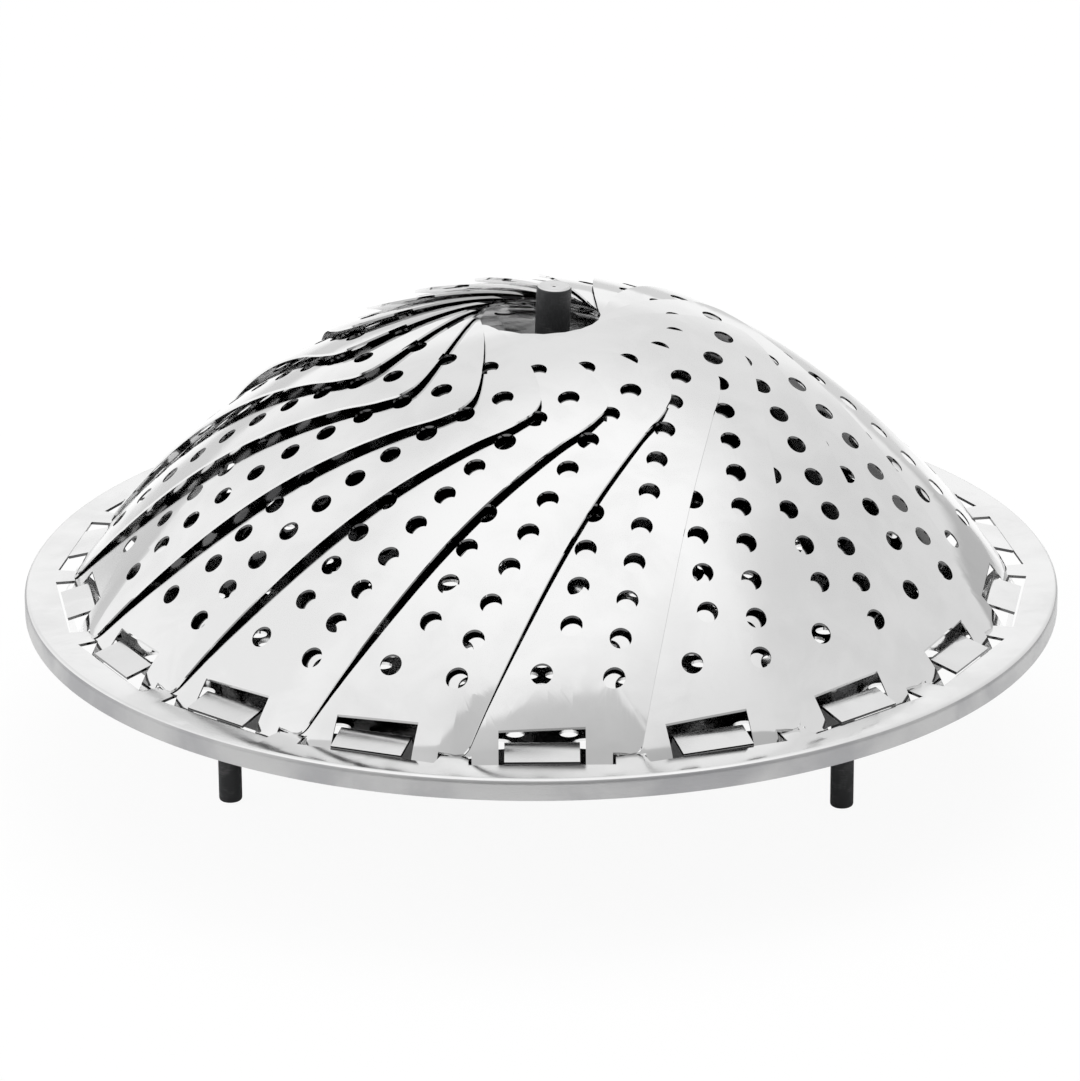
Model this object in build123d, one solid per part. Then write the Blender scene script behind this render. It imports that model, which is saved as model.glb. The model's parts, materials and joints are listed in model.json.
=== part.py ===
import os
from math import atan2, cos, degrees, hypot, isclose, radians, sin, tan

from build123d import *

# Folding steamer basket, closed. The origin is on the surface it stands on, below
# the centre post, and +Z is up. Petal 01 is at the front, which is -Y, and the
# petals are numbered round towards +X. All sizes are in millimetres and degrees.

# Overall
rim_radius = 90.0
stand_height = 30.3
petal_count = 18

# Base plate, pressed from one sheet: floor, spokes, flat band and turned-down rim
base_sheet = 0.5
rim_drop = 3.6
rim_bend = 1.4
band_width = 5.2
floor_depth = 4.0
slot_length = 9.5
spoke_width = 2.7
spoke_flat_length = 4.8
spoke_slope_length = 4.2
floor_hole_radius = 1.9
floor_hole_sides = 6
floor_ring_pitch = 22.0
floor_ring_count = 2
floor_holes_per_ring = 6

# Petal sheet, and its centre line from the foot to the tip
petal_sheet = 0.4
press_slant = 33.0
foot_setback = 4.3
foot_height = 0.5
dome_height = 48.4
layer_rise = 2.7
station_radius_shares = [1.0, 0.76, 0.52, 0.28, 0.1]
station_height_shares = [0.0, 0.436, 0.739, 0.912, 1.0]
station_rise_shares = [0.37, 0.76, 0.52, 0.28, 0.22]
ray_count = 7

# Petal outline seen from above, at shares of the reach from the foot to the tip
tip_gap_radius = 10.4
petal_half_width = 30.4
edge_reach_shares = [0.0, 0.35, 0.867, 0.955]
edge_width_shares = [0.515, 0.75, 1.0, 0.74]

# Petal foot: a tongue that dips through the slot, and a window for the hinge tab
tongue_side_clearance = 0.5
tongue_limb_width = 4.35
tongue_lean = 12.0
hinge_strip_height = 1.5
hinge_strip_drop = 3.2
window_side_clearance = 0.95
window_top_setback = 2.7
ear_clearance = 0.65

# Hinge tabs: cut from the slots, folded up through the windows and out over the strips
tab_root_length = 1.0
tab_ridge_setback = 2.1
tab_ridge_height = 1.65
tab_overhang = 1.6
tab_end_height = -0.2

# Petal perforations, in two columns that follow the side edges, and one between
perforation_diameter = 3.5
perforation_sides = 4
perforation_corner_share = 1.2
first_row_reach = 12.6
row_pitch = 8.6
row_count = 8
edge_margin = 6.4

# Centre post, which leans a little to the right, with a threaded end and a nut under the floor
post_diameter = 6.0
post_rise = 53.15
post_lean = 2.2
post_chamfer = 0.35
post_dimple_radius = 0.9
post_dimple_depth = 0.8
post_thread_radius = 2.0
post_thread_fit = 0.05
post_thread_tip = 0.8
post_nut_height = 3.0
post_nut_corner_radius = 4.0
nut_sides = 6

# Legs, each with a spigot that goes through the floor and is spread in its hole
leg_diameter = 4.0
leg_circle_radius = 60.6
leg_front_angle = 60.0
leg_turn = -2.2
leg_spigot_radius = 1.2
leg_spigot_fit = 0.05
leg_spigot_rise = 0.8

# One overrun for every cutter
overrun = 20.0

# Places worked out from the sizes above
petal_turn = 360 / petal_count
corner_turn = petal_turn / 2
rim_top = stand_height
floor_top = rim_top - floor_depth
floor_underside = floor_top - base_sheet
slot_outer_radius = rim_radius - band_width
slot_inner_radius = slot_outer_radius - slot_length
spoke_bend_radius = slot_outer_radius - spoke_flat_length
floor_radius = spoke_bend_radius - spoke_slope_length
foot_radius = slot_outer_radius - foot_setback
petal_reach = foot_radius - tip_gap_radius
slot_pitch = 2 * slot_inner_radius * tan(radians(corner_turn))
slot_width = slot_pitch - spoke_width / cos(radians(corner_turn))
tongue_width = slot_width - 2 * tongue_side_clearance
window_width = tongue_width - 2 * tongue_limb_width
tab_width = window_width - 2 * window_side_clearance
leg_angles = [leg_turn - leg_front_angle, leg_turn + leg_front_angle, leg_turn + 180]


def save(shape, name):
    """Write one sub-part to its own file."""
    export_step(shape, f"parts/{name}.step")


def turned(shape, angle):
    """A copy turned about the centre post."""
    return Rotation(0, 0, angle) * shape


def outward(angle):
    """Direction away from the centre post, at an angle from the front."""
    return Vector(sin(radians(angle)), -cos(radians(angle)), 0)


def sheet_section(points, thickness):
    """Section of a bent sheet at the front, from the line of its upper face.

    The points give the distance from the centre post and the height over the rim.
    """
    line = Polyline(*points)
    section = make_face(offset(line, thickness, side=Side.RIGHT, kind=Kind.INTERSECTION))
    front = Plane(origin=(0, 0, rim_top), x_dir=(0, -1, 0), z_dir=(-1, 0, 0))
    return front * section


def make_base_plate():
    """Floor, spokes, band and turned-down rim, with slots and hinge tabs."""
    section = sheet_section(
        [
            (0, -floor_depth),
            (floor_radius, -floor_depth),
            (spoke_bend_radius, 0),
            (rim_radius - rim_bend, 0),
            (rim_radius, -rim_bend),
            (rim_radius, -rim_drop),
        ],
        base_sheet,
    )
    plate = revolve(section, Axis.Z)
    slot_middle = slot_inner_radius + slot_length / 2
    slot = Pos(0, -slot_middle, rim_top) * Box(slot_width, slot_length, overrun)
    tab = make_tab()
    plate -= [turned(slot, petal_turn * number) for number in range(petal_count)]
    plate += [turned(tab, petal_turn * number) for number in range(petal_count)]
    return plate - make_floor_cutters()


def make_tab():
    """Tab that rises from a slot's inner edge and folds out over the hinge strip."""
    section = sheet_section(
        [
            (slot_inner_radius - tab_root_length, -floor_depth),
            (slot_inner_radius + base_sheet / 2, -floor_depth),
            (foot_radius - tab_ridge_setback, tab_ridge_height),
            (foot_radius + tab_overhang, tab_end_height),
        ],
        base_sheet,
    )
    return extrude(section, amount=tab_width / 2, both=True)


def make_floor_cutters():
    """Steam holes in rings, and the holes of the post and the legs."""
    steam_hole = extrude(RegularPolygon(floor_hole_radius, floor_hole_sides), overrun / 2, both=True)
    leg_hole = Cylinder(leg_spigot_radius + leg_spigot_fit, overrun)
    cutters = [Pos(0, 0, floor_top) * Cylinder(post_thread_radius + post_thread_fit, overrun)]
    for ring in range(1, floor_ring_count + 1):
        hole_count = floor_holes_per_ring * ring
        hole = Pos(0, -ring * floor_ring_pitch, floor_top) * steam_hole
        cutters += [turned(hole, 360 * (step + 0.5) / hole_count) for step in range(hole_count)]
    for angle in leg_angles:
        cutters.append(turned(Pos(0, -leg_circle_radius, floor_top) * leg_hole, angle))
    return cutters


def dome_point(radius, angle):
    """Point on a petal's outer face, at an angle from the petal's centre line."""
    panel_angle = angle - petal_turn * round(angle / petal_turn)
    share = radius * cos(radians(panel_angle)) / foot_radius
    step = 0
    while step < len(station_radius_shares) - 2 and share < station_radius_shares[step + 1]:
        step += 1
    gap = station_radius_shares[step] - station_radius_shares[step + 1]
    along = (station_radius_shares[step] - share) / gap

    def blend(table):
        return table[step] * (1 - along) + table[step + 1] * along

    height = foot_height + dome_height * blend(station_height_shares)
    rise = layer_rise * blend(station_rise_shares) * angle / petal_turn
    return outward(angle) * radius + Vector(0, 0, rim_top + height + rise)


def make_petal_blank():
    """Pressed sheet of one petal, as flat panels between rings and rays.

    The panels' edges match from petal to petal, so the sheets nest: each lies above
    its right-hand neighbour by the layer rise, all over the dome.
    """
    slant = radians(press_slant)
    press = Vector(0, sin(slant), -cos(slant)) * petal_sheet
    panels = []
    for ring in range(1, len(station_radius_shares)):
        for ray in range(ray_count):
            left = petal_turn * (ray - ray_count / 2)
            panels += make_panel(ring, left, press)
    return panels[0].fuse(*panels[1:])


def make_panel(ring, left, press):
    """Sheet between two rings and two rays.

    It is flat where the rise shrinks with the radius, and bent along a diagonal
    where it doesn't.
    """
    corner_radius = foot_radius / cos(radians(corner_turn))
    radius_shares = station_radius_shares[ring - 1], station_radius_shares[ring]
    rise_shares = station_rise_shares[ring - 1], station_rise_shares[ring]
    outer, inner = (corner_radius * share for share in radius_shares)
    right = left + petal_turn
    corners = [dome_point(outer, left), dome_point(outer, right)]
    corners += [dome_point(inner, right), dome_point(inner, left)]
    pieces = [corners]
    if not isclose(rise_shares[0] / radius_shares[0], rise_shares[1] / radius_shares[1]):
        pieces = [corners[:3], [corners[0], *corners[2:]]]
    outlines = [Polyline(*piece, close=True) for piece in pieces]
    return [Solid.extrude(make_face(outline).face(), press) for outline in outlines]


def half_width(reach):
    """Half the petal's width, at a distance from its foot."""
    share = reach / petal_reach
    step = 0
    while step < len(edge_reach_shares) - 2 and share > edge_reach_shares[step + 1]:
        step += 1
    gap = edge_reach_shares[step + 1] - edge_reach_shares[step]
    along = (share - edge_reach_shares[step]) / gap
    width = edge_width_shares[step] * (1 - along) + edge_width_shares[step + 1] * along
    return petal_half_width * width


def make_petal_outline():
    """Upright prism with the petal's outline seen from above."""
    right = [(half_width(0), -foot_radius - overrun)]
    for reach_share, width_share in zip(edge_reach_shares, edge_width_shares):
        right.append((petal_half_width * width_share, petal_reach * reach_share - foot_radius))
    left = [(-across, along) for across, along in reversed(right)]
    outline = make_face(Polyline(*right, (0, -tip_gap_radius), *left, close=True))
    return Pos(0, 0, rim_top) * extrude(outline, amount=dome_height + overrun, dir=(0, 0, 1))


def make_tongue():
    """Strip that leans from the petal's crease down through the slot to the hinge strip."""
    lean = radians(tongue_lean)
    down = Vector(0, -sin(lean), -cos(lean))
    bottom = rim_top - hinge_strip_drop - hinge_strip_height / 2
    left_top, right_top = crease_point(-tongue_width / 2), crease_point(tongue_width / 2)
    left_bottom = left_top + down * ((left_top.Z - bottom) / cos(lean))
    right_bottom = right_top + down * ((right_top.Z - bottom) / cos(lean))
    outline = Polyline(left_top, right_top, right_bottom, left_bottom, close=True)
    return Solid.extrude(make_face(outline).face(), Vector(0, cos(lean), -sin(lean)) * petal_sheet)


def crease_point(across):
    """Point on the crease between the petal's lowest panel and its tongue."""
    panel_half_width = foot_radius * sin(radians(corner_turn)) / cos(radians(corner_turn))
    rise = layer_rise * station_rise_shares[0] / 2 * across / panel_half_width
    return Vector(across, -foot_radius, rim_top + foot_height + rise)


def make_window():
    """Cutter of the window that the hinge tab passes through."""
    bottom = rim_top - hinge_strip_drop + hinge_strip_height / 2
    height = overrun
    window_top_radius = foot_radius - window_top_setback
    middle = window_top_radius + overrun / 2
    return Pos(0, -middle, bottom + height / 2) * Box(window_width, overrun, height)


def make_ear_cutters():
    """Blocks that trim the petal's lower corners just above the spokes."""
    top = rim_top + ear_clearance
    cutters = []
    for side in (-1, 1):
        middle = side * (tongue_width / 2 + overrun / 2)
        cutters.append(Pos(middle, -foot_radius, top - overrun / 2) * Box(overrun, overrun, overrun))
    return cutters


def perforation_places():
    """Radius and angle of each hole: a pair in every row, and one more in the first."""
    places = []
    for row in range(row_count):
        reach = meridian_reach(first_row_reach + row_pitch * row)
        inward = foot_radius - reach
        outer = half_width(reach) - edge_margin
        columns = [-outer, outer] if row else [-outer, 0, outer]
        places += [(hypot(inward, across), degrees(atan2(across, inward))) for across in columns]
    return places


def meridian_reach(length):
    """Plan distance from the foot after a length along the petal's centre line."""
    stations = list(zip(station_radius_shares, station_height_shares))
    for (radius, height), (next_radius, next_height) in zip(stations, stations[1:]):
        run = foot_radius * (radius - next_radius)
        span = hypot(run, dome_height * (next_height - height))
        if length <= span:
            break
        length -= span
    return foot_radius * (1 - radius) + run * length / span


def make_perforations():
    """Cutters of the petal's holes, square to the middle of its sheet."""
    slant = radians(press_slant)
    across = Plane(origin=(0, 0, 0), x_dir=(1, 0, 0), z_dir=(0, -sin(slant), cos(slant)))
    corner_radius = perforation_diameter / 2 * perforation_corner_share
    hole = RegularPolygon(corner_radius, perforation_sides, rotation=180 / perforation_sides)
    cutter = extrude(across * hole, amount=perforation_diameter, both=True)
    return [Pos(*dome_point(radius, angle)) * cutter for radius, angle in perforation_places()]


def make_petal():
    """One petal in its closed place at the front."""
    body = make_petal_blank() & make_petal_outline()
    body -= make_ear_cutters()
    body += make_tongue()
    body -= make_window()
    return body - make_perforations()


def disc(radius, bottom, top):
    """Cylinder on the centre line between two heights."""
    return Pos(0, 0, (bottom + top) / 2) * Cylinder(radius, top - bottom)


def make_post():
    """Centre post: it stands on the floor, and its threaded end goes through."""
    top = rim_top + post_rise
    post = disc(post_diameter / 2, floor_underside, top)
    post = chamfer(post.edges().group_by(Axis.Z)[-1], post_chamfer)
    post -= disc(post_dimple_radius, top - post_dimple_depth, top + overrun)
    post = Pos(0, 0, floor_top) * Rotation(0, post_lean, 0) * Pos(0, 0, -floor_top) * post
    post -= disc(post_diameter, floor_top - overrun, floor_top)
    thread_bottom = floor_underside - post_nut_height - post_thread_tip
    return post + disc(post_thread_radius, thread_bottom, floor_top)


def make_post_nut():
    """Hexagon nut on the post's threaded end, tight against the floor."""
    bottom = floor_underside - post_nut_height
    hexagon = RegularPolygon(post_nut_corner_radius, nut_sides)
    nut = Pos(0, 0, bottom) * extrude(hexagon, post_nut_height)
    return nut - disc(post_thread_radius + post_thread_fit, bottom - overrun, floor_top)


def make_leg():
    """Round leg under the floor at the front, with its spigot through the floor."""
    leg = disc(leg_diameter / 2, 0, floor_underside)
    leg += disc(leg_spigot_radius, floor_underside, floor_top + leg_spigot_rise)
    return Pos(0, -leg_circle_radius, 0) * leg


os.makedirs("parts", exist_ok=True)
save(make_base_plate(), "base_plate")
save(make_post(), "centre_post")
save(make_post_nut(), "post_nut")
leg = make_leg()
for name, angle in zip(("leg_left", "leg_right", "leg_rear"), leg_angles):
    save(turned(leg, angle), name)
petal = make_petal()
for number in range(petal_count):
    save(turned(petal, petal_turn * number), f"petal_{number + 1:02d}")
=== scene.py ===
import json
import logging
from dataclasses import dataclass
from enum import Enum
from math import atan2, cos, degrees, hypot, pi, radians, sin

import bmesh
import bpy
import numpy as np
from mathutils import Matrix, Vector


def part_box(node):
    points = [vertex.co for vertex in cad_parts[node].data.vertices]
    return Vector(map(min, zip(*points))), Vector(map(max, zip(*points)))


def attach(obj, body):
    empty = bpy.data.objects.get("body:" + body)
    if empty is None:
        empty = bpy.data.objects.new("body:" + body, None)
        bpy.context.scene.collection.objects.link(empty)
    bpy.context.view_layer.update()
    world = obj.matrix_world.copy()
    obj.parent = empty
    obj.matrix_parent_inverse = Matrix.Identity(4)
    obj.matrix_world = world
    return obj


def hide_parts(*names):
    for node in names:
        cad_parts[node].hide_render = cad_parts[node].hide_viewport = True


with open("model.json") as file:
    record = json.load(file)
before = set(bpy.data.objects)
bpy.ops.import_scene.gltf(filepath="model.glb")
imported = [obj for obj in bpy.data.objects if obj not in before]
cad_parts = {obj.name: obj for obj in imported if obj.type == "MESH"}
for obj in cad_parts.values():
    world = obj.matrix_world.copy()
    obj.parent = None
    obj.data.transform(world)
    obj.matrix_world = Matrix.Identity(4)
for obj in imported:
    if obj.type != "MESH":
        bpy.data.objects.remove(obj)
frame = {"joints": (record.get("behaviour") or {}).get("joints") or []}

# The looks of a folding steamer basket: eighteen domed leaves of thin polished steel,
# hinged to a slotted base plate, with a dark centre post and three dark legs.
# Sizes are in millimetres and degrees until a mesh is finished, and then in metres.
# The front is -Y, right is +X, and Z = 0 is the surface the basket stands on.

logging.basicConfig(level=logging.INFO, format="%(message)s")
log = logging.getLogger("steamer")

Pair = tuple[float, float]
Triple = tuple[float, float, float]
Shape = bmesh.types.BMesh

MM = 0.001
MERGE = 1e-4
RIM_TOP = 30.3
FLOOR_DEPTH = 4.0
PLATE_SHEET = 0.5
LEGS = ("leg_left", "leg_right", "leg_rear")
NOISE_SPAN = (0.4, 0.62)
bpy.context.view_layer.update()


class Slot(Enum):
    """Material slots of the record."""

    SHEET = "stainless_sheet"
    DARK = "dark_coating"
    FASTENER = "steel_fastener"


class Signal:
    """A socket's value in shader maths: each operator adds the node that does it."""

    def __init__(self, shader: "Shader", socket: bpy.types.NodeSocket) -> None:
        """Keep the socket and the shader that it belongs to."""
        self.shader = shader
        self.socket = socket

    def maths(self, operation: str, *values: object) -> "Signal":
        """Add a Math node, whose inputs are signals or numbers, in order."""
        return self.shader.add("ShaderNodeMath", {"operation": operation}, dict(enumerate(values)))

    def __add__(self, other: object) -> "Signal":
        """Sum."""
        return self.maths("ADD", self, other)

    def __radd__(self, other: object) -> "Signal":
        """Sum with a number in front."""
        return self.maths("ADD", other, self)

    def __sub__(self, other: object) -> "Signal":
        """Difference."""
        return self.maths("SUBTRACT", self, other)

    def __rsub__(self, other: object) -> "Signal":
        """Difference with a number in front."""
        return self.maths("SUBTRACT", other, self)

    def __mul__(self, other: object) -> "Signal":
        """Product."""
        return self.maths("MULTIPLY", self, other)

    def __rmul__(self, other: object) -> "Signal":
        """Product with a number in front."""
        return self.maths("MULTIPLY", other, self)

    def ramp(self, low: float, high: float) -> "Signal":
        """Go smoothly from 0 at the low value to 1 at the high one."""
        settings = {"interpolation_type": "SMOOTHSTEP"}
        return self.shader.add(
            "ShaderNodeMapRange", settings, {"Value": self, "From Min": low, "From Max": high}, "Result"
        )


class Shader:
    """A node tree under construction."""

    def __init__(self, tree: bpy.types.NodeTree) -> None:
        """Empty the tree."""
        self.tree = tree
        tree.nodes.clear()

    def add(self, kind: str, settings: dict | None = None, inputs: dict | None = None,
            output: int | str = 0) -> Signal:
        """Add a node.

        Args:
            kind: The node's type name.
            settings: Its attributes, which are set first.
            inputs: Its sockets by name or place, with a value or a signal for each.
            output: The socket of the node that is handed back.

        Returns:
            The output socket.
        """
        node = self.tree.nodes.new(kind)
        for name, value in (settings or {}).items():
            setattr(node, name, value)
        for key, value in (inputs or {}).items():
            if isinstance(value, Signal):
                self.tree.links.new(value.socket, node.inputs[key])
            else:
                node.inputs[key].default_value = value
        if not node.outputs:
            return Signal(self, None)
        return Signal(self, node.outputs[output])

    def place(self, scale: Triple = (1.0, 1.0, 1.0), uv: bool = False) -> Signal:
        """Coordinates of the surface.

        Args:
            scale: How much each axis is stretched.
            uv: Whether to read the piece's own flat pattern instead of the object's place.

        Returns:
            The coordinates, in metres before they are stretched.
        """
        output = "UV" if uv else "Object"
        coordinates = self.add("ShaderNodeTexCoord", output=output)
        return self.add("ShaderNodeMapping", {}, {"Vector": coordinates, "Scale": scale})

    def noise(self, place: Signal, scale: float, detail: float = 2.0, distortion: float = 0.0) -> Signal:
        """Soft noise, mostly between 0.3 and 0.7. Its scale is how many features a metre has."""
        inputs = {"Vector": place, "Scale": scale, "Detail": detail, "Distortion": distortion}
        return self.add("ShaderNodeTexNoise", {}, inputs)

    def colour(self, factor: Signal, first: tuple, second: tuple) -> Signal:
        """Blend two colours by a factor."""
        inputs = {0: factor, 6: (*first, 1.0), 7: (*second, 1.0)}
        return self.add("ShaderNodeMix", {"data_type": "RGBA"}, inputs, 2)

    def bump(self, height: Signal, strength: float, depth: float) -> Signal:
        """Turn a height into a normal, with its strength and its depth in metres."""
        return self.add("ShaderNodeBump", {}, {"Strength": strength, "Distance": depth, "Height": height})

    def finish(self, surface: Signal) -> None:
        """Join the surface to the output.

        Args:
            surface: The last shader or the background.
        """
        world = "Background" in surface.socket.node.bl_idname
        kind = "ShaderNodeOutputWorld" if world else "ShaderNodeOutputMaterial"
        self.add(kind, {}, {"Surface": surface})

    def metal(self, colour: Signal, roughness: Signal, normal: Signal, share: float = 1.0) -> None:
        """Join a metal surface to the output. Its share is how metallic it is."""
        inputs = {"Base Color": colour, "Metallic": share, "Roughness": roughness, "Normal": normal}
        self.finish(self.add("ShaderNodeBsdfPrincipled", {}, inputs))


def new_shader(name: str) -> tuple[bpy.types.Material, Shader]:
    """Make an empty material.

    Args:
        name: The material's name.

    Returns:
        The material and its shader.
    """
    material = bpy.data.materials.new(name)
    material.use_nodes = True
    return material, Shader(material.node_tree)


@dataclass(frozen=True)
class PolishedSteel:
    """Mirror-bright rolled sheet: faint clouds of haze, a slight waviness and fine rolling scratches."""

    name: str
    pale: Triple = (0.86, 0.86, 0.86)
    deep: Triple = (0.8, 0.8, 0.8)
    gloss: float = 0.045
    haze: float = 0.06
    scratch_haze: float = 0.05
    wave: float = 0.12
    wave_depth: float = 0.0006
    cloud_scale: float = 34.0
    smear_scale: float = 110.0
    swell_scale: float = 40.0
    scratch_scale: float = 2600.0
    scratch_stretch: float = 0.04
    scratch_span: Pair = (0.62, 0.74)
    patch_shares: Pair = (0.65, 0.35)
    smear_relief: float = 0.04
    scratch_relief: float = 0.004

    def material(self) -> bpy.types.Material:
        """Build the finish.

        Returns:
            The material.
        """
        material, shader = new_shader(self.name)
        place = shader.place()
        along = shader.place((1.0, self.scratch_stretch, 1.0), uv=True)
        clouds = shader.noise(place, self.cloud_scale, detail=4.0, distortion=0.6)
        smears = shader.noise(place, self.smear_scale, detail=5.0, distortion=1.2)
        scratches = shader.noise(along, self.scratch_scale, detail=3.0)
        cloudy, smeared = self.patch_shares
        patch = (clouds * cloudy + smears * smeared).ramp(*NOISE_SPAN)
        scratch = scratches.ramp(*self.scratch_span)
        colour = shader.colour(patch, self.pale, self.deep)
        roughness = patch * self.haze + scratch * self.scratch_haze + self.gloss
        swell = shader.noise(place, self.swell_scale, detail=1.0)
        height = swell + smears * self.smear_relief + scratches * self.scratch_relief
        normal = shader.bump(height, self.wave, self.wave_depth)
        shader.metal(colour, roughness, normal)
        return material


@dataclass(frozen=True)
class ShadedSteel:
    """Painted shade: the same sheet steel painted dark for faces turned away from the light, with clouds and
    long drawn streaks.
    """

    name: str
    pale: Triple = (0.16, 0.16, 0.16)
    deep: Triple = (0.08, 0.08, 0.083)
    gloss: float = 0.06
    haze: float = 0.06
    wave: float = 0.2
    wave_depth: float = 0.0006
    cloud_scale: float = 40.0
    streak_scale: float = 320.0
    streak_stretch: float = 0.1
    patch_shares: Pair = (0.6, 0.4)

    def material(self) -> bpy.types.Material:
        """Build the finish.

        Returns:
            The material.
        """
        material, shader = new_shader(self.name)
        clouds = shader.noise(shader.place(), self.cloud_scale, detail=4.0, distortion=0.5)
        streaks = shader.noise(shader.place((1.0, self.streak_stretch, 1.0), uv=True), self.streak_scale)
        cloudy, streaked = self.patch_shares
        patch = (clouds * cloudy + streaks * streaked).ramp(*NOISE_SPAN)
        colour = shader.colour(patch, self.pale, self.deep)
        roughness = patch * self.haze + self.gloss
        normal = shader.bump(clouds, self.wave, self.wave_depth)
        shader.metal(colour, roughness, normal)
        return material


@dataclass(frozen=True)
class SatinSteel:
    """Duller steel of the lip, the nut and the post's cut end: drawn and slightly pitted."""

    name: str
    pale: Triple = (0.52, 0.52, 0.52)
    deep: Triple = (0.42, 0.42, 0.43)
    gloss: float = 0.3
    haze: float = 0.1
    grain_haze: float = 0.12
    cloud_scale: float = 60.0
    cloud_span: Pair = (0.38, 0.64)
    grain_scale: float = 900.0
    grain_squeeze: float = 6.0
    grain_relief: float = 0.4
    pitting: float = 0.25
    pit_depth: float = 0.0003

    def material(self) -> bpy.types.Material:
        """Build the finish.

        Returns:
            The material.
        """
        material, shader = new_shader(self.name)
        place = shader.place()
        clouds = shader.noise(place, self.cloud_scale, detail=5.0, distortion=0.4)
        grain = shader.noise(shader.place((1.0, 1.0, self.grain_squeeze)), self.grain_scale, detail=3.0)
        patch = clouds.ramp(*self.cloud_span)
        colour = shader.colour(patch, self.pale, self.deep)
        roughness = patch * self.haze + grain * self.grain_haze + self.gloss
        normal = shader.bump(grain * self.grain_relief + clouds, self.pitting, self.pit_depth)
        shader.metal(colour, roughness, normal)
        return material


@dataclass(frozen=True)
class DarkMatt:
    """Dark grey matt metal of the post and legs, with rubbed spots and fine turning marks."""

    name: str
    body: Triple = (0.04, 0.041, 0.043)
    rubbed: Triple = (0.11, 0.11, 0.11)
    gloss: float = 0.34
    haze: float = 0.25
    metal: float = 0.4
    cloud_scale: float = 300.0
    turning_scale: float = 500.0
    turning_squeeze: float = 14.0
    rub_span: Pair = (0.5, 0.72)
    rub_shares: Pair = (0.7, 0.3)
    relief_shares: Pair = (0.6, 0.4)
    mark: float = 0.3
    mark_depth: float = 0.0002

    def material(self) -> bpy.types.Material:
        """Build the finish.

        Returns:
            The material.
        """
        material, shader = new_shader(self.name)
        place = shader.place()
        clouds = shader.noise(place, self.cloud_scale, detail=5.0, distortion=0.5)
        turned = shader.noise(shader.place((1.0, 1.0, self.turning_squeeze)), self.turning_scale)
        cloudy, marked = self.rub_shares
        rub = (clouds * cloudy + turned * marked).ramp(*self.rub_span)
        colour = shader.colour(rub, self.body, self.rubbed)
        roughness = clouds * self.haze + self.gloss
        marked, cloudy = self.relief_shares
        normal = shader.bump(turned * marked + clouds * cloudy, self.mark, self.mark_depth)
        shader.metal(colour, roughness, normal, self.metal)
        return material


class Sheet:
    """Flat pattern of a thin sheet: it is cut to shape, gridded, shaped and given its wall."""

    def __init__(self) -> None:
        """Start with no outline and no hole rims."""
        self.bm = bmesh.new()
        self.rims = set()

    def outline(self, points: list[Pair]) -> None:
        """Add a closed edge.

        Args:
            points: Its corners, in order.
        """
        corners = [self.bm.verts.new((across, along, 0.0)) for across, along in points]
        for first, second in zip(corners, corners[1:] + corners[:1]):
            self.bm.edges.new((first, second))

    def hole(self, across: float, along: float, radii: Pair, turn: float, sides: int) -> None:
        """Add a round or oval hole.

        Args:
            across: Its centre across the sheet.
            along: Its centre along the sheet.
            radii: Its half widths along its own two axes.
            turn: How far its axes are turned, in radians.
            sides: How many sides its edge has.
        """
        matrix = Matrix.Translation((across, along, 0.0)) @ Matrix.Rotation(turn, 4, "Z")
        matrix = matrix @ Matrix.Diagonal((*radii, 1.0, 1.0))
        circle = bmesh.ops.create_circle(self.bm, cap_ends=False, radius=1.0, segments=sides, matrix=matrix)
        self.rims.update(circle["verts"])

    def fill(self) -> None:
        """Fill the sheet between its edge and its holes."""
        bmesh.ops.triangle_fill(self.bm, use_beauty=True, use_dissolve=False, edges=self.bm.edges[:])
        for face in self.bm.faces:
            if face.normal.z < 0:
                face.normal_flip()

    def cut(self, axis: int, places: list[float]) -> None:
        """Cut the sheet along straight lines, so that it can bend there.

        Args:
            axis: 0 for lines at places across the sheet, and 1 for places along it.
            places: Where the lines are.
        """
        for place in places:
            point = Vector((0.0, 0.0, 0.0))
            normal = Vector((0.0, 0.0, 0.0))
            point[axis] = place
            normal[axis] = 1.0
            geometry = self.bm.verts[:] + self.bm.edges[:] + self.bm.faces[:]
            bmesh.ops.bisect_plane(self.bm, geom=geometry, dist=MERGE, plane_co=point, plane_no=normal)

    def keep_pattern(self) -> None:
        """Store the flat pattern as the sheet's UV map, in metres."""
        layer = self.bm.loops.layers.uv.new("Pattern")
        for face in self.bm.faces:
            for loop in face.loops:
                loop[layer].uv = (loop.vert.co.x * MM, loop.vert.co.y * MM)


def bezier(start: Vector, corner: Vector, end: Vector, share: float) -> Vector:
    """Point of a rounded corner, at a share of the way along it."""
    return start * (1 - share) ** 2 + corner * 2 * share * (1 - share) + end * share ** 2


def spun(points: list[Triple], turns: int) -> Shape:
    """Turn a line round the post's axis.

    Args:
        points: The line's points.
        turns: How many steps a whole turn has.

    Returns:
        The shape.
    """
    bm = bmesh.new()
    corners = [bm.verts.new(point) for point in points]
    line = [bm.edges.new(pair) for pair in zip(corners, corners[1:])]
    bmesh.ops.spin(bm, geom=corners + line, cent=(0, 0, 0), axis=(0, 0, 1), angle=2 * pi,
                   steps=turns, use_merge=True)
    bmesh.ops.remove_doubles(bm, verts=bm.verts, dist=MERGE)
    bmesh.ops.recalc_face_normals(bm, faces=bm.faces)
    return bm


def thicken(bm: Shape, sheet: float) -> None:
    """Give an upper surface its wall below.

    Args:
        bm: The surface.
        sheet: The wall's thickness.
    """
    if sum(face.normal.z * face.calc_area() for face in bm.faces) < 0:
        bmesh.ops.reverse_faces(bm, faces=bm.faces)
    bmesh.ops.solidify(bm, geom=bm.faces[:], thickness=sheet)


def to_metres(bm: Shape) -> None:
    """Turn a shape's millimetres into metres."""
    bmesh.ops.scale(bm, vec=(MM, MM, MM), verts=bm.verts)


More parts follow.
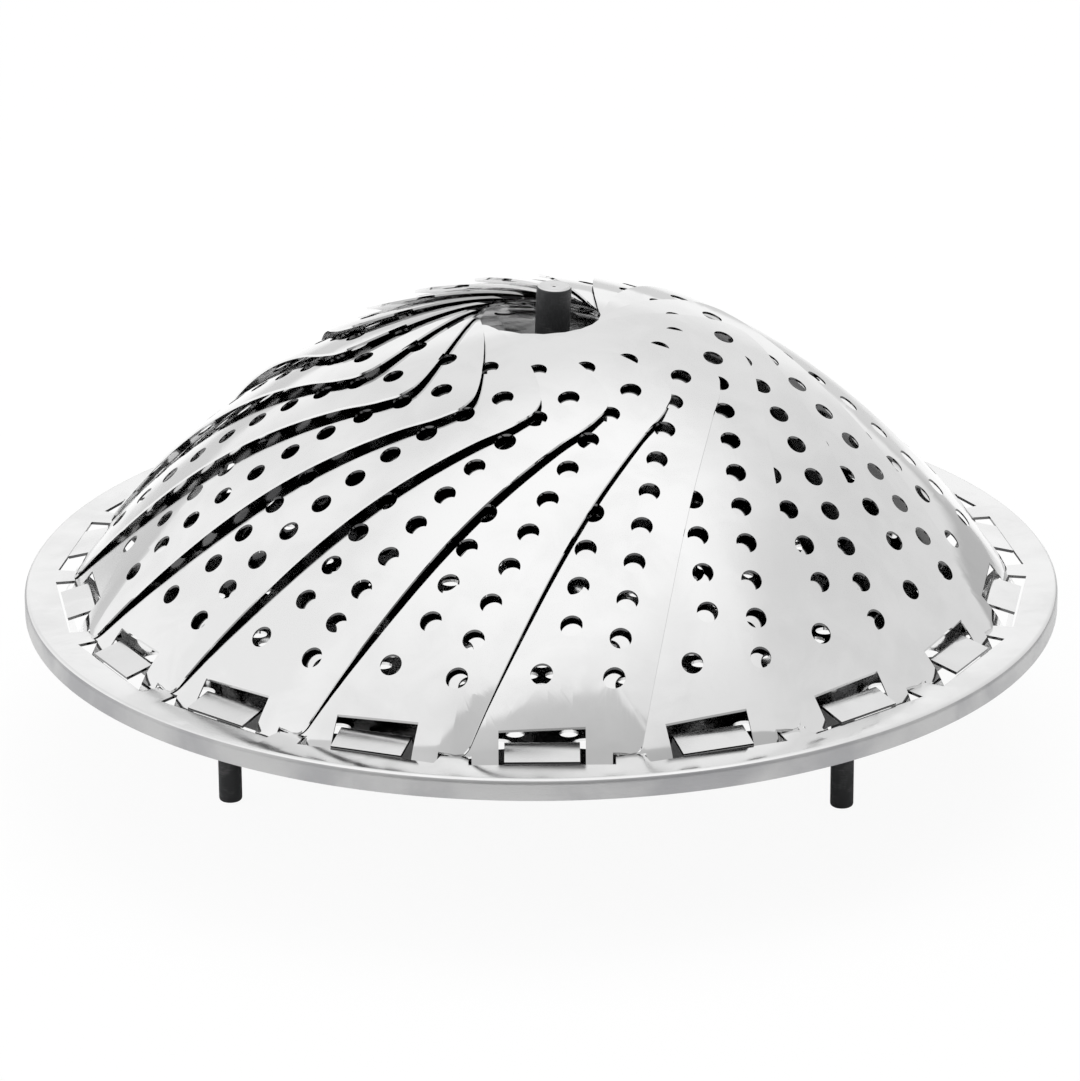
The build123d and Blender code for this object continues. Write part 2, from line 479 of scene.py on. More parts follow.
def show(item: bpy.types.Object) -> None:
    """Put an object into the scene."""
    bpy.context.scene.collection.objects.link(item)


def to_mesh(bm: Shape, name: str) -> bpy.types.Mesh:
    """Keep a shape as a mesh.

    Args:
        bm: The shape, which is freed.
        name: The mesh's name.

    Returns:
        The mesh.
    """
    mesh = bpy.data.meshes.new(name)
    bm.to_mesh(mesh)
    bm.free()
    return mesh


def finish_mesh(bm: Shape, name: str, crease: float = 35.0) -> bpy.types.Mesh:
    """Turn millimetres into metres and make a shaded mesh.

    Args:
        bm: The shape, which is freed.
        name: The mesh's name.
        crease: Edges that turn by more degrees than this stay sharp.

    Returns:
        The mesh.
    """
    to_metres(bm)
    for face in bm.faces:
        face.smooth = True
    mesh = to_mesh(bm, name)
    mesh.set_sharp_from_angle(angle=radians(crease))
    return mesh


def place_piece(name: str, mesh: bpy.types.Mesh, body: str, nodes: list[str],
                materials: list[bpy.types.Material]) -> bpy.types.Object:
    """Put a finished mesh into the scene.

    Args:
        name: The piece's name.
        mesh: Its mesh, in its place.
        body: The body it rides on.
        nodes: The nodes that it stands for.
        materials: Its materials, in the order of its faces' material numbers.

    Returns:
        The object.
    """
    piece = bpy.data.objects.new(name, mesh)
    show(piece)
    for material in materials:
        mesh.materials.append(material)
    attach(piece, body)
    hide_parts(*nodes)
    log.info("%s: %d faces on %s", name, len(mesh.polygons), body)
    return piece


def leg_centre(node: str) -> Pair:
    """Middle of a leg in plan, in millimetres."""
    low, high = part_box(node)
    return (low.x + high.x) / 2 / MM, (low.y + high.y) / 2 / MM


@dataclass
class Dome:
    """Shape that the closed leaves share, and how they climb over each other."""

    rim_top: float = RIM_TOP
    leaf_count: int = 18
    foot_radius: float = 80.5
    radii: tuple = (80.5, 64.0, 50.0, 36.0, 22.0, 8.0)
    heights: tuple = (0.3, 18.55, 29.95, 38.5, 44.75, 47.95)
    rises: tuple = (0.8, 1.95, 2.0, 1.3, 0.94, 0.65)
    round_radius: float = 52.0
    degree: int = 4

    def __post_init__(self) -> None:
        """Fit a smooth curve to the heights and to the rises."""
        self.turn = 360 / self.leaf_count
        self.height_curve = np.polyfit(self.radii, self.heights, self.degree)
        self.rise_curve = np.polyfit(self.radii, self.rises, self.degree)

    def flattened(self, radius: float, angle: float) -> float:
        """Radius along the leaf's middle, where the foot is straight instead of round.

        Args:
            radius: Distance from the centre post.
            angle: Angle from a leaf's middle.

        Returns:
            The radius at which the dome's height is read.
        """
        share = abs(angle - self.turn * round(angle / self.turn)) / (self.turn / 2)
        sagging = (share ** 2 - share ** 6 / 3) * radians(self.turn / 2) ** 2 / 2
        fade = min(max((radius - self.round_radius) / (self.foot_radius - self.round_radius), 0.0), 1.0)
        fade = fade * fade * (3 - 2 * fade)
        return radius * (1 - fade * sagging)

    def point(self, radius: float, angle: float) -> Vector:
        """Point on the outer face of the front leaf.

        Args:
            radius: Distance from the centre post.
            angle: Angle from the leaf's middle, towards +X.

        Returns:
            The point.
        """
        level = float(np.polyval(self.height_curve, self.flattened(radius, angle)))
        rise = float(np.polyval(self.rise_curve, radius)) * angle / self.turn
        turn = radians(angle)
        return Vector((radius * sin(turn), -radius * cos(turn), self.rim_top + level + rise))

    def slope(self, radius: float) -> float:
        """Steepness of the dome at a radius, in radians."""
        return abs(atan2(float(np.polyval(np.polyder(self.height_curve), radius)), 1.0))


@dataclass
class Leaves:
    """The eighteen leaves: one domed, perforated sheet, turned round the post."""

    dome: Dome
    steel: PolishedSteel
    # Painted shade: dark steel for the inner faces and the perforations' walls.
    inside: ShadedSteel
    sheet: float = 0.4
    edge_along: tuple = (0.1, 16.2, 32.5, 51.5, 59.0, 62.6, 64.7, 66.6, 68.3, 69.4, 70.1)
    edge_across: tuple = (15.9, 20.35, 24.4, 28.9, 30.35, 29.8, 27.7, 22.6, 15.2, 8.0, 0.0)
    edge_end: float = 70.0
    edge_points: int = 110
    point_half: float = 0.2
    corner: float = 1.8
    corner_points: int = 7
    tongue_half: float = 11.4
    tongue_lean: float = 28.0
    tongue_length: float = 4.55
    strip_top: float = 3.0
    window_half: float = 7.05
    window_top: float = 2.7
    fold: float = 0.9
    fold_cuts: tuple = (-1.0, -0.6, -0.2, 0.2, 0.6)
    hole_diameter: float = 3.7
    hole_sides: int = 28
    rows: tuple = (12.6, 75.6, 10)
    column_start: float = 9.87
    column_lean: float = 0.2335
    column_pitch: float = 8.35
    inner_rows: tuple = (1, 2, 3, 4)
    inner_shift: float = 2.1
    top_hole: Pair = (14.8, 61.9)
    grid: float = 2.0
    step: float = 0.05

    def plan_reach(self, length: float) -> float:
        """Walk a length over the dome's middle.

        Args:
            length: How far it goes over the surface, from the foot.

        Returns:
            How far that is in plan.
        """
        reach = 0.0
        while length > 0:
            length -= self.step / cos(self.dome.slope(self.dome.foot_radius - reach))
            reach += self.step
        return reach

    def edge(self) -> list[Pair]:
        """Outline of the flat pattern.

        Returns:
            Its corners, from the tongue's lower right corner round to its lower left one.
        """
        right = [(self.tongue_half, -self.tongue_length), (self.tongue_half, self.edge_along[0])]
        lower = np.linspace(0.0, self.corner, self.corner_points)[:-1]
        upper = np.linspace(self.corner, self.edge_end, self.edge_points)
        fine = self.edge_along[0] + np.concatenate([lower, upper])
        smooth = smoothed(self.edge_along, self.edge_across, fine)
        share = np.clip(1 - (fine - self.edge_along[0]) / self.corner, 0.0, 1.0)
        smooth = smooth - self.corner * (1 - np.sqrt(1 - share ** 2))
        right += [(across, along) for across, along in zip(smooth, fine) if across > self.point_half]
        left = [(-across, along) for across, along in reversed(right)]
        return right + [(0.0, self.edge_along[-1])] + left

    def holes(self) -> list[Pair]:
        """Lay out the perforations.

        Returns:
            Their centres, across and along the flat pattern: a leaning column at each side, a shorter
            one inside it, one hole at the top of each side and one in the middle of the foot.
        """
        places = [self.top_hole]
        for row, length in enumerate(np.linspace(*self.rows)):
            along = self.plan_reach(length)
            places.append((self.column_start + self.column_lean * along, along))
            if row in self.inner_rows:
                along = self.plan_reach(length + self.inner_shift)
                places.append((self.column_start + self.column_lean * along - self.column_pitch, along))
        places += [(-across, along) for across, along in places]
        return places + [(0.0, self.plan_reach(self.rows[0] + self.inner_shift / 2))]

    def shaped(self, across: float, along: float) -> Vector:
        """Form a point of the flat pattern, with a sharp fold at the foot.

        Args:
            across: Its place across the pattern.
            along: Its place along the pattern, which is negative on the tongue.

        Returns:
            Its place on the leaf.
        """
        plan = self.dome.foot_radius - max(along, 0.0)
        point = self.dome.point(hypot(across, plan), degrees(atan2(across, plan)))
        lean = radians(self.tongue_lean)
        drop = max(-along, 0.0)
        return point + Vector((0.0, -sin(lean), -cos(lean))) * drop

    def folded(self, across: float, along: float) -> Vector:
        """Form a point of the flat pattern, with a rounded fold at the foot.

        Args:
            across: Its place across the pattern.
            along: Its place along the pattern.

        Returns:
            Its place on the leaf.
        """
        if abs(along) >= self.fold:
            return self.shaped(across, along)
        share = (along + self.fold) / (2 * self.fold)
        low, bend, high = (self.shaped(across, place) for place in (-self.fold, 0.0, self.fold))
        return bezier(low, bend, high, share)

    def mesh(self) -> bpy.types.Mesh:
        """Make the front leaf.

        Returns:
            Its mesh, in its closed place.
        """
        sheet = Sheet()
        sheet.outline(self.edge())
        half = self.window_half
        sheet.outline([(-half, -self.strip_top), (half, -self.strip_top), (half, self.window_top),
                       (-half, self.window_top)])
        for across, along in self.holes():
            plan = self.dome.foot_radius - along
            squash = cos(self.dome.slope(hypot(across, plan)))
            radius = self.hole_diameter / 2
            sheet.hole(across, along, (radius, radius * squash), atan2(across, plan), self.hole_sides)
        sheet.fill()
        count = int(max(self.edge_across) / self.grid)
        sheet.cut(0, [self.grid * (step + 0.5) * side for step in range(count) for side in (-1, 1)])
        sheet.cut(1, list(np.arange(self.fold, self.edge_along[-1], self.grid)))
        sheet.cut(1, [self.fold * share for share in self.fold_cuts])
        sheet.keep_pattern()
        for vertex in sheet.bm.verts:
            vertex.co = self.folded(vertex.co.x, vertex.co.y)
        outer = set(sheet.bm.verts)
        bmesh.ops.solidify(sheet.bm, geom=sheet.bm.faces[:], thickness=self.sheet)
        # Inner faces and the walls of the perforations take the dark material: painted shade under the sheet
        # and inside the holes.
        for face in sheet.bm.faces:
            inner = outer.isdisjoint(face.verts)
            wall = not outer.issuperset(face.verts)
            rim = not sheet.rims.isdisjoint(face.verts)
            face.material_index = int(inner or (wall and rim))
        return finish_mesh(sheet.bm, "leaf")

    def build(self) -> None:
        """Make all the leaves."""
        mesh = self.mesh()
        materials = [self.steel.material(), self.inside.material()]
        for number in range(self.dome.leaf_count):
            node = f"petal_{number + 1:02d}"
            turned = mesh.copy()
            turned.transform(Matrix.Rotation(radians(self.dome.turn * number), 4, "Z"))
            place_piece(f"{node}_sheet", turned, node, [node], materials)
        bpy.data.meshes.remove(mesh)


def smoothed(places: tuple, values: tuple, fine: np.ndarray) -> np.ndarray:
    """Smooth curve through a few points, with no overshoot at its corners.

    Args:
        places: Where the points are.
        values: Their values.
        fine: Where the curve is read.

    Returns:
        Its values.
    """
    places, values = np.array(places), np.array(values)
    slopes = np.gradient(values, places)
    step = np.clip(np.searchsorted(places, fine, side="right") - 1, 0, len(places) - 2)
    gap = places[step + 1] - places[step]
    share = (fine - places[step]) / gap
    start = (1 + 2 * share) * (1 - share) ** 2 * values[step] + share * (1 - share) ** 2 * gap * slopes[step]
    end = share ** 2 * (3 - 2 * share) * values[step + 1] + share ** 2 * (share - 1) * gap * slopes[step + 1]
    return start + end


def cut_away(piece: bpy.types.Object, cutters: Shape) -> None:
    """Cut closed shapes out of a piece.

    Args:
        piece: The piece, with a closed mesh.
        cutters: The shapes, in metres, which are freed.
    """
    mesh = to_mesh(cutters, "cutters")
    tool = bpy.data.objects.new("cutters", mesh)
    show(tool)
    modifier = piece.modifiers.new("Cut", "BOOLEAN")
    modifier.operation = "DIFFERENCE"
    modifier.solver = "EXACT"
    modifier.object = tool
    bpy.context.view_layer.update()
    graph = bpy.context.evaluated_depsgraph_get()
    result = bpy.data.meshes.new_from_object(piece.evaluated_get(graph))
    old = piece.data
    piece.modifiers.clear()
    piece.data = result
    bpy.data.meshes.remove(old)
    bpy.data.objects.remove(tool)
    bpy.data.meshes.remove(mesh)


@dataclass
class BasePlate:
    """One pressing: floor, spokes, polished band, turned-down lip, slots and hinge tabs."""

    steel: PolishedSteel
    satin: SatinSteel
    # Painted shade: dark steel for the tab undersides and the slot walls.
    shade: ShadedSteel
    bright: PolishedSteel
    rim_top: float = RIM_TOP
    rim_radius: float = 90.0
    sheet: float = PLATE_SHEET
    lip_drop: float = 3.6
    bend: float = 0.95
    bend_steps: int = 6
    satin_share: float = 0.3
    floor_depth: float = FLOOR_DEPTH
    floor_radius: float = 75.8
    floor_margin: float = 1.0
    spoke_bend_radius: float = 80.0
    slot_inner: float = 75.3
    slot_outer: float = 83.8
    slot_half: float = 11.9
    slot_count: int = 18
    slot_cut: float = 20.0
    tab_half: float = 6.1
    tab_ridge: Pair = (78.3, 1.78)
    tab_end: Pair = (83.5, 0.35)
    tab_root: float = 74.3
    tab_fold: float = 0.55
    tab_fold_steps: int = 4
    wall_tilt: float = 0.3
    under_tilt: float = 0.2
    steam_radius: float = 1.6
    steam_outer: float = 56.9
    steam_step: float = 5.0
    steam_pitch: float = 4.35
    steam_rings: int = 10
    drain_radius: float = 2.2
    drains: tuple = ((66.4, 6.1), (68.0, 29.7), (71.5, 52.8))
    pair: Pair = (61.9, 4.1)
    hole_sides: int = 16
    hole_cut: float = 4.0
    leg_space: float = 2.6
    turns: int = 360
    thirds: Triple = (0.0, 120.0, 240.0)
    crease: float = 30.0

    def section(self) -> list[Pair]:
        """Outer line of the plate's section.

        Returns:
            Its points, as distances from the post and heights over the rim.
        """
        floor = -self.floor_depth
        points = [(0.0, floor), (self.floor_radius, floor), (self.spoke_bend_radius, 0.0)]
        centre = self.rim_radius - self.bend
        for step in range(self.bend_steps + 1):
            turn = radians(90 * step / self.bend_steps)
            points.append((centre + self.bend * sin(turn), self.bend * (cos(turn) - 1)))
        return points + [(self.rim_radius, -self.lip_drop)]

    def shell(self) -> Shape:
        """Turned shell of the plate, with its wall.

        Returns:
            The shell, in metres.
        """
        points = [(0.0, -radius, self.rim_top + height) for radius, height in self.section()]
        bm = spun(points, self.turns)
        thicken(bm, self.sheet)
        to_metres(bm)
        return bm

    def cutters(self) -> Shape:
        """Slots and steam holes.

        Returns:
            Closed shapes, in metres.
        """
        bm = bmesh.new()
        turn = 2 * pi / self.slot_count
        middle = (self.slot_inner + self.slot_outer) / 2
        size = (2 * self.slot_half, self.slot_outer - self.slot_inner, self.slot_cut)
        for number in range(self.slot_count):
            matrix = Matrix.Rotation(turn * number, 4, "Z") @ Matrix.Translation((0, -middle, self.rim_top))
            bmesh.ops.create_cube(bm, size=1.0, matrix=matrix @ Matrix.Diagonal((*size, 1.0)))
        for place, radius in self.floor_holes():
            bmesh.ops.create_cone(bm, cap_ends=True, segments=self.hole_sides, radius1=radius, radius2=radius,
                                  depth=self.hole_cut, matrix=Matrix.Translation(place))
        to_metres(bm)
        return bm

    def floor_hole(self, radius: float, turn: float) -> Vector:
        """Centre of a floor hole, from its distance to the post and its angle from the front."""
        return Vector((radius * sin(turn), -radius * cos(turn), self.rim_top - self.floor_depth))

    def floor_holes(self) -> list[tuple[Vector, float]]:
        """Lay out the floor's holes.

        Returns:
            Each hole's centre and radius: staggered rings of small ones, and outside them, in each
            third, a pair of small ones and some wider ones. They leave room for the legs' spread ends.
        """
        holes = []
        for number in range(self.steam_rings):
            radius = self.steam_outer - self.steam_step * number
            count = self.slot_count * max(1, round(2 * pi * radius / self.steam_pitch / self.slot_count))
            turns = [2 * pi * (step + (number + 1) % 2 / 2) / count for step in range(count)]
            holes += [(self.floor_hole(radius, turn), self.steam_radius) for turn in turns]
        wide = [(*drain, self.drain_radius) for drain in self.drains]
        for reach, angle, radius in [*wide, (*self.pair, self.steam_radius)]:
            for third in self.thirds:
                holes += [(self.floor_hole(reach, radians(third + angle * side)), radius) for side in (-1, 1)]
        legs = [Vector(leg_centre(node)) for node in LEGS]
        return [(place, radius) for place, radius in holes
                if all((place.xy - leg).length > self.leg_space + radius for leg in legs)]

    def tabs(self, bm: Shape) -> None:
        """Add the folded hinge tabs.

        Args:
            bm: The plate's mesh, in metres.
        """
        tab = bmesh.new()
        floor = -self.floor_depth
        foot = (self.slot_inner + self.sheet / 2, floor)
        line = [(self.tab_root, floor), foot, self.tab_ridge, self.tab_end]
        corners = [tab.verts.new((-self.tab_half, -radius, self.rim_top + height)) for radius, height in line]
        edges = [tab.edges.new(pair) for pair in zip(corners, corners[1:])]
        widened = bmesh.ops.extrude_edge_only(tab, edges=edges)["geom"]
        moved = [item for item in widened if isinstance(item, bmesh.types.BMVert)]
        bmesh.ops.translate(tab, vec=(2 * self.tab_half, 0, 0), verts=moved)
        folds = [edge for edge in tab.edges if len(edge.link_faces) == 2]
        bmesh.ops.bevel(tab, geom=folds, offset=self.tab_fold, offset_type="OFFSET",
                        segments=self.tab_fold_steps, profile=0.5, affect="EDGES", material=-1)
        bmesh.ops.recalc_face_normals(tab, faces=tab.faces)
        thicken(tab, self.sheet)
        tab.normal_update()
        # Faces turned downward take the dark material: painted shade under the folded tabs.
        for face in tab.faces:
            face.material_index = 2 if face.normal.z < -self.under_tilt else 0
        to_metres(tab)
        mesh = to_mesh(tab, "tab")
        for _ in range(self.slot_count):
            bm.from_mesh(mesh)
            mesh.transform(Matrix.Rotation(2 * pi / self.slot_count, 4, "Z"))
        bpy.data.meshes.remove(mesh)

    def build(self) -> None:
        """Make the base plate."""
        mesh = to_mesh(self.shell(), "base_plate_pressing")
        finishes = (self.steel, self.satin, self.shade, self.bright)
        materials = [finish.material() for finish in finishes]
        piece = place_piece("base_plate_pressing", mesh, "base", ["base_plate"], materials)
        cut_away(piece, self.cutters())
        bm = bmesh.new()
        bm.from_mesh(piece.data)
        self.tabs(bm)
        edge = (self.rim_radius - self.bend * self.satin_share) * MM
        for face in bm.faces:
            centre = face.calc_center_median()
            reach = hypot(centre.x, centre.y)
            face.smooth = True
            # Upright walls in the slot ring take the dark material (number 2): painted shade in the slots.
            upright = abs(face.normal.z) < self.wall_tilt
            if reach > edge:
                face.material_index = 1
            elif upright and self.slot_inner * MM - MERGE < reach < edge - self.bend * MM:
                face.material_index = 2
            elif reach < (self.floor_radius - self.floor_margin) * MM:
                face.material_index = 3
        bm.to_mesh(piece.data)
        bm.free()
        piece.data.set_sharp_from_angle(angle=radians(self.crease))


def rounded(points: list[Triple], steps: int = 5) -> list[Pair]:
    """Round the corners of a section.

    Args:
        points: Each corner's two places and how far from it the rounding starts.
        steps: How many edges each rounding has.

    Returns:
        The section's points.
    """
    line = []
    for number, (x, z, cut) in enumerate(points):
        corner = Vector((x, z))
        if not cut:
            line.append(tuple(corner))
            continue
        before = Vector(points[number - 1][:2])
        after = Vector(points[number + 1][:2])
        start = corner + (before - corner).normalized() * cut
        end = corner + (after - corner).normalized() * cut
        line += [tuple(bezier(start, corner, end, step / steps)) for step in range(steps + 1)]
    return line


@dataclass
class PostAndLegs:
    """The dark centre post with its nut, and the three dark legs with their spread ends."""

    turns: int = 64
    crease: float = 40.0
    dark: DarkMatt = DarkMatt("dark_matt")
    plain: SatinSteel = SatinSteel("plain_steel")
    cut: SatinSteel = SatinSteel("cut_end", (0.76, 0.76, 0.76), (0.66, 0.66, 0.66))
    rim_top: float = RIM_TOP
    floor_top: float = RIM_TOP - FLOOR_DEPTH
    floor_sheet: float = PLATE_SHEET
    post_radius: float = 3.0
    post_rise: float = 53.12
    post_lean: float = 2.58
    post_bevel: float = 0.35
    foot_height: float = 0.15
    foot_gap: float = 0.1
    soft: float = 0.1
    top_soft: float = 0.25
    dimple_radius: float = 0.9
    dimple_depth: float = 0.8
    dimple_shares: Pair = (0.35, 0.3)
    dimple_soft: float = 0.3
    ring_shares: Triple = (0.76, 0.8, 0.84)
    ring_height: float = 0.04
    ring_soft: float = 0.05
    cut_depth: float = 0.3
    thread_radius: float = 2.0
    thread_pitch: float = 0.7
    thread_depth: float = 0.25
    thread_bevel: float = 0.3
    thread_tip: float = 0.8
    nut_height: float = 3.0
    nut_corner: float = 4.0
    nut_bevel: float = 0.35
    nut_steps: int = 3
    nut_crease: float = 25.0
    level: float = 0.01
    bore_depth: float = 20.0
    bore_sides: int = 48
    leg_radius: float = 2.0
    leg_softs: Pair = (0.15, 0.55)
    shank_radius: float = 1.2
    rivet_radius: float = 2.2
    rivet_height: float = 0.9
    rivet_soft: float = 0.85

    def spin(self, points: list[Pair], place: Pair = (0.0, 0.0)) -> Shape:
        """Turn a section into a closed round shape.

        Args:
            points: Distances from the axis and heights, from the axis at the top to the axis at the bottom.
            place: Where the axis is.

        Returns:
            The shape, in millimetres.
        """
        bm = spun([(radius, 0.0, height) for radius, height in points], self.turns)
        bmesh.ops.translate(bm, vec=(*place, 0.0), verts=bm.verts)
        return bm

    def post_section(self, top: float, bottom: float) -> list[Pair]:
        """Section of the post: its dimpled cut end, its round side and its thread.

        Args:
            top: The height of its cut end.
            bottom: The height of its thread's end.

        Returns:
            Its points, from the top of the axis to the bottom.
        """
        bend, sink = self.dimple_shares
        inner, rise, outer = self.ring_shares
        section = rounded([
            (0.0, top - self.dimple_depth, 0.0),
            (self.dimple_radius * bend, top - self.dimple_depth * sink, self.soft),
            (self.dimple_radius, top - self.ring_height, self.dimple_soft),
            (self.post_radius * inner, top - self.ring_height, self.soft),
            (self.post_radius * rise, top, self.ring_soft),
            (self.post_radius * outer, top, self.soft),
            (self.post_radius, top - self.post_bevel, self.top_soft),
            (self.post_radius, self.floor_top + self.foot_height, self.soft),
            (self.thread_radius, self.floor_top + self.foot_gap, 0.0),
        ])
        height = self.floor_top - self.thread_pitch
        while height - self.thread_pitch > bottom:
            groove = (self.thread_radius - self.thread_depth, height - self.thread_pitch / 2)
            section += [(self.thread_radius, height), groove]
            height -= self.thread_pitch
        return section + [(self.thread_radius - self.thread_bevel, bottom), (0.0, bottom)]

    def build_post(self) -> None:
        """Make the centre post."""
        top = self.rim_top + self.post_rise
        bottom = self.floor_top - self.floor_sheet - self.nut_height - self.thread_tip
        bm = self.spin(self.post_section(top, bottom))
        for face in bm.faces:
            face.material_index = int(min(vertex.co.z for vertex in face.verts) > top - self.cut_depth)
        above = [vertex for vertex in bm.verts if vertex.co.z > self.floor_top + self.foot_gap / 2]
        bmesh.ops.rotate(bm, cent=(0, 0, self.floor_top), verts=above,
                         matrix=Matrix.Rotation(radians(self.post_lean), 3, "Y"))
        mesh = finish_mesh(bm, "centre_post_turned", self.crease)
        materials = [self.dark.material(), self.cut.material()]
        place_piece("centre_post_turned", mesh, "base", ["centre_post"], materials)

    def build_nut(self) -> None:
        """Make the hexagon nut under the floor."""
        top = self.floor_top - self.floor_sheet
        bm = bmesh.new()
        middle = Matrix.Translation((0, 0, top - self.nut_height / 2))
        bmesh.ops.create_cone(bm, cap_ends=True, segments=6, radius1=self.nut_corner, radius2=self.nut_corner,
                              depth=self.nut_height, matrix=middle)
        corners = [edge for edge in bm.edges if abs(edge.verts[0].co.z - edge.verts[1].co.z) < self.level]
        bmesh.ops.bevel(bm, geom=corners, offset=self.nut_bevel, offset_type="OFFSET",
                        segments=self.nut_steps, profile=0.5, affect="EDGES", material=-1)
        to_metres(bm)
        mesh = to_mesh(bm, "post_nut_hexagon")
        materials = [self.plain.material()]
        piece = place_piece("post_nut_hexagon", mesh, "base", ["post_nut"], materials)
        bore = bmesh.new()
        bmesh.ops.create_cone(bore, cap_ends=True, segments=self.bore_sides, radius1=self.thread_radius * MM,
                              radius2=self.thread_radius * MM, depth=self.bore_depth * MM,
                              matrix=Matrix.Translation((0, 0, top * MM)))
        cut_away(piece, bore)
        for polygon in piece.data.polygons:
            polygon.use_smooth = True
        piece.data.set_sharp_from_angle(angle=radians(self.nut_crease))

    def build_legs(self) -> None:
        """Make the three legs."""
        material = self.dark.material()
        underside = self.floor_top - self.floor_sheet
        upper, lower = self.leg_softs
        section = rounded([
            (0.0, self.floor_top + self.rivet_height, 0.0),
            (self.rivet_radius, self.floor_top + self.rivet_height, self.rivet_soft),
            (self.rivet_radius, self.floor_top, 0.0),
            (self.shank_radius, self.floor_top, 0.0),
            (self.shank_radius, underside, 0.0),
            (self.leg_radius, underside, upper),
            (self.leg_radius, 0.0, lower),
            (0.0, 0.0, 0.0),
        ])
        for node in LEGS:
            mesh = finish_mesh(self.spin(section, leg_centre(node)), f"{node}_turned", self.crease)
            place_piece(f"{node}_turned", mesh, "base", [node], [material])

    def build(self) -> None:
        """Make the post, its nut and the legs."""
        self.build_post()
        self.build_nut()
        self.build_legs()


@dataclass
class SoftLight:
    """A round soft light that is aimed at the basket. Its sizes are in metres."""

    name: str
    place: Triple
    size: float
    power: float
    aim: Triple = (0.0, 0.0, 0.04)

    def build(self) -> None:
        """Hang the light."""
        data = bpy.data.lights.new(self.name, "AREA")
        data.shape = "DISK"
        data.size = self.size
        data.energy = self.power
        light = bpy.data.objects.new(self.name, data)
        light.location = self.place
        light.visible_glossy = False
        way = Vector(self.aim) - Vector(self.place)
        light.rotation_euler = way.to_track_quat("-Z", "Y").to_euler()
        show(light)


def zone(way: Signal, low: float, high: float, strength: float) -> Signal:
    """Light of a part of the surroundings, from where its edge starts and ends and its strength."""
    return way.ramp(low, high) * strength


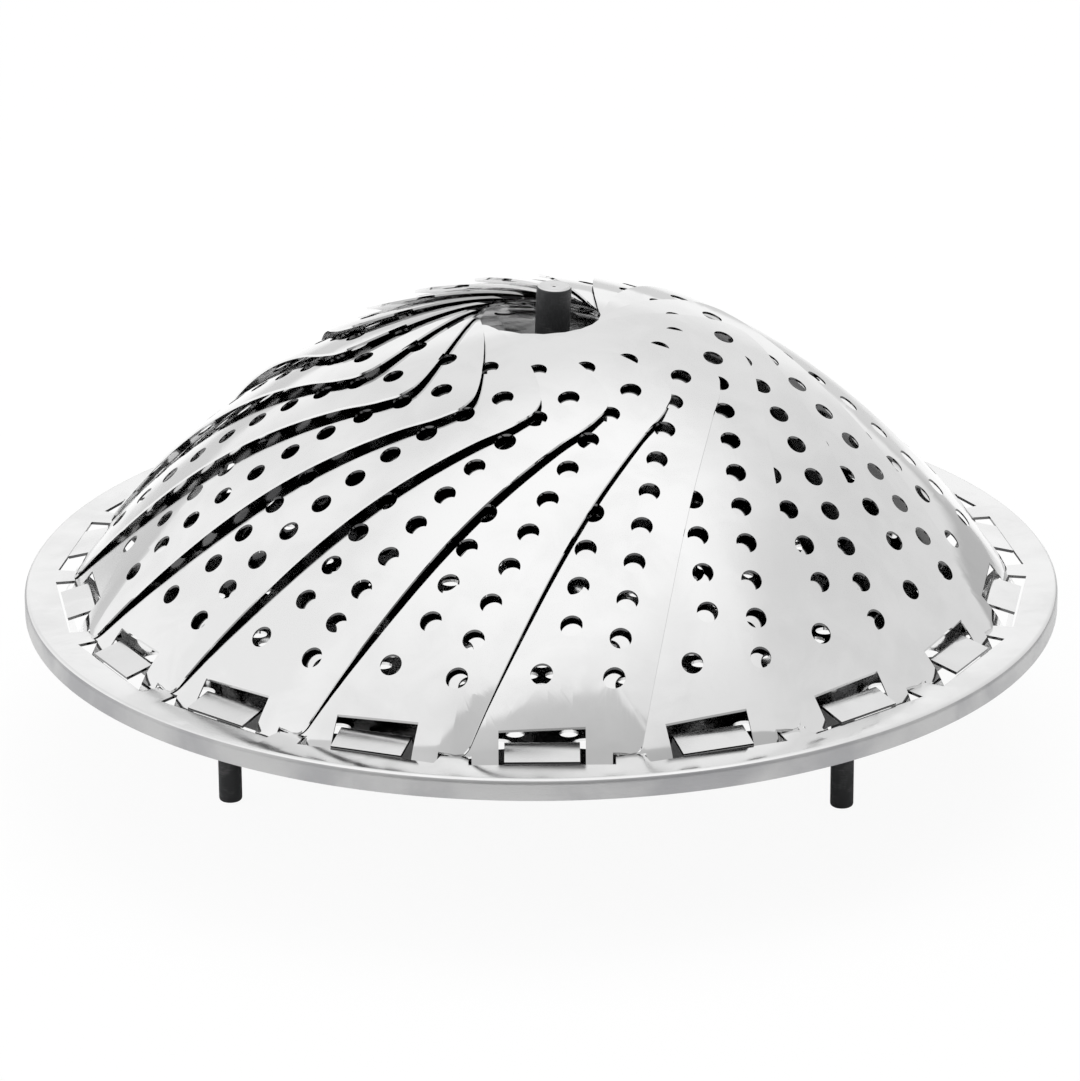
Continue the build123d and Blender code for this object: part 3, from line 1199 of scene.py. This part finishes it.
@dataclass
class Studio:
    """Pale floor, camera, lights and surroundings, whose zones give their edge and their strength."""

    image_side: float = 1081.0
    focal_pixels: float = 5539.9
    sensor: float = 36.0
    distance: float = 966.34
    target: Triple = (-0.138, 0.0, 36.397)
    elevation: float = 21.258
    roll: float = -0.355
    far: float = 20000.0
    floor_size: float = 6000.0
    floor_drop: float = 0.1
    floor_shade: float = 0.82
    floor_glow: float = 0.93
    ambient: float = 0.88
    overhead_zone: Triple = (0.75, 0.98, 0.22)
    behind_zone: Triple = (0.84, 0.93, 0.14)
    front_zone: Triple = (0.51, 0.53, 0.3)
    right_zone: Triple = (0.3, 0.7, 0.09)
    left_zone: Triple = (0.3, 0.7, 0.12)
    skirt_zone: Triple = (0.08, 0.13, 0.3)
    kerb_zone: Triple = (0.75, 0.9, 0.2)
    kerb_top: Pair = (0.4, 0.5)

    def build_camera(self) -> None:
        """Place the camera at the photograph's angle."""
        up = radians(self.elevation)
        back = Vector((0.0, -cos(up), sin(up)))
        data = bpy.data.cameras.new("camera")
        data.sensor_width = self.sensor
        data.lens = self.focal_pixels * self.sensor / self.image_side
        data.clip_end = self.far * MM
        camera = bpy.data.objects.new("camera", data)
        place = (Vector(self.target) + back * self.distance) * MM
        tilt = Matrix.Rotation(pi / 2 - up, 4, "X")
        turn = Matrix.Rotation(radians(self.roll), 4, "Z")
        camera.matrix_world = Matrix.Translation(place) @ tilt @ turn
        show(camera)
        bpy.context.scene.camera = camera

    def build_floor(self) -> None:
        """Make the floor, which glows nearly white to the camera and keeps the basket's soft shadow."""
        bm = bmesh.new()
        bmesh.ops.create_grid(bm, x_segments=2, y_segments=2, size=self.floor_size / 2 * MM)
        mesh = to_mesh(bm, "floor")
        floor = bpy.data.objects.new("floor", mesh)
        floor.location.z = -self.floor_drop * MM
        show(floor)
        material, shader = new_shader("pale_floor")
        grey = (self.floor_shade, self.floor_shade, self.floor_shade, 1.0)
        matt = shader.add("ShaderNodeBsdfDiffuse", {}, {"Color": grey})
        glow = shader.add("ShaderNodeEmission", {}, {"Color": (1.0, 1.0, 1.0, 1.0), "Strength": 1.0})
        seen = shader.add("ShaderNodeLightPath", output="Is Camera Ray")
        surface = shader.add("ShaderNodeMixShader", {}, {0: seen * self.floor_glow, 1: matt, 2: glow})
        shader.finish(surface)
        mesh.materials.append(material)

    def build_world(self) -> None:
        """Make the surroundings: bright overhead, behind and at the left, greyer in front and low down."""
        world = bpy.data.worlds.new("studio")
        bpy.context.scene.world = world
        world.use_nodes = True
        shader = Shader(world.node_tree)
        way = shader.add("ShaderNodeTexCoord", output="Generated")
        split = shader.add("ShaderNodeSeparateXYZ", {}, {0: way})
        along = Signal(shader, split.socket.node.outputs["Y"])
        height = Signal(shader, split.socket.node.outputs["Z"])
        aside = Signal(shader, split.socket.node.outputs["X"])
        overhead = zone(height, *self.overhead_zone)
        behind = zone(along, *self.behind_zone)
        front = zone(along * -1.0, *self.front_zone)
        right = zone(aside, *self.right_zone)
        left = zone(aside * -1.0, *self.left_zone)
        low, high, strength = self.skirt_zone
        skirt = (1.0 - height.ramp(low, high)) * strength
        low, high, strength = self.kerb_zone
        kerb = (along * -1.0).ramp(low, high) * (1.0 - height.ramp(*self.kerb_top)) * strength
        seen = shader.add("ShaderNodeLightPath", output="Is Camera Ray")
        light = self.ambient + overhead + behind + left - front - right - skirt - kerb
        shade = light * (1.0 - seen) + seen
        surface = shader.add("ShaderNodeBackground", {}, {"Color": (1.0, 1.0, 1.0, 1.0), "Strength": shade})
        shader.finish(surface)

    def build_lights(self) -> None:
        """Hang one broad soft light over the basket and a weaker one at its left."""
        SoftLight("top_light", (0.15, 0.25, 1.1), size=0.9, power=5.0).build()
        SoftLight("left_light", (-1.0, -0.35, 0.7), size=0.6, power=3.0).build()

    def build(self) -> None:
        """Make the studio."""
        bpy.context.scene.view_settings.view_transform = "Standard"
        self.build_camera()
        self.build_floor()
        self.build_world()
        self.build_lights()


def main() -> None:
    """Build the basket's looks and the studio round it."""
    leaf_count = sum(1 for joint in frame["joints"] if joint["type"] == "hinge")
    dome = Dome(leaf_count=leaf_count)
    Leaves(dome, PolishedSteel("polished_leaf"), ShadedSteel("leaf_inside_painted_shade")).build()
    band = PolishedSteel("polished_band", gloss=0.1, haze=0.12, wave=0.15)
    bright = PolishedSteel("polished_floor", gloss=0.03, haze=0.03, wave=0.3)
    shade = ShadedSteel("tab_and_slot_painted_shade")
    BasePlate(band, SatinSteel("satin_lip"), shade, bright, slot_count=leaf_count).build()
    PostAndLegs().build()
    Studio().build()
    bpy.context.view_layer.update()


if __name__ == "__main__":
    main()
